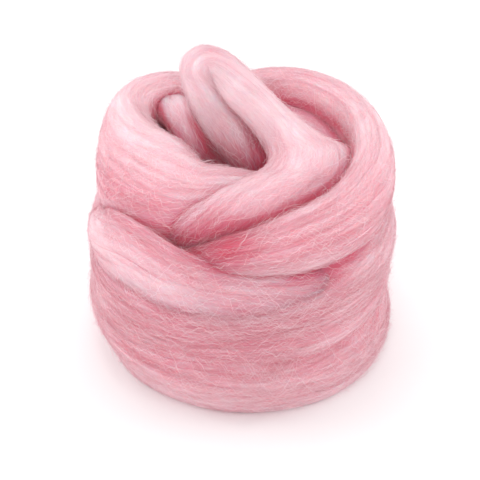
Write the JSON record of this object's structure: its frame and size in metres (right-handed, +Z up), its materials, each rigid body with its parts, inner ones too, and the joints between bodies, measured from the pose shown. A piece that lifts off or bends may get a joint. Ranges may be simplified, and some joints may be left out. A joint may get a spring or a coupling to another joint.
{
  "type": "wool roving",
  "caption": "Combed wool roving wound into a soft round bundle, with its end turned up in a loop out of the hollow top and crossed over the front.",
  "frame": {"origin": "middle of the bundle's box, on the surface it rests on", "axes": "+Z up; -Y is the front, where the two ends of the top turns meet in a V; +X is the right, seen from the front"},
  "size_m": [0.0893, 0.0893, 0.091],
  "materials": {
    "wool": "soft matt combed wool, pale pink, deeper pink in its creases"
  },
  "bodies": {
    "root": {"wool_roving": "wool"}
  },
  "joints": []
}
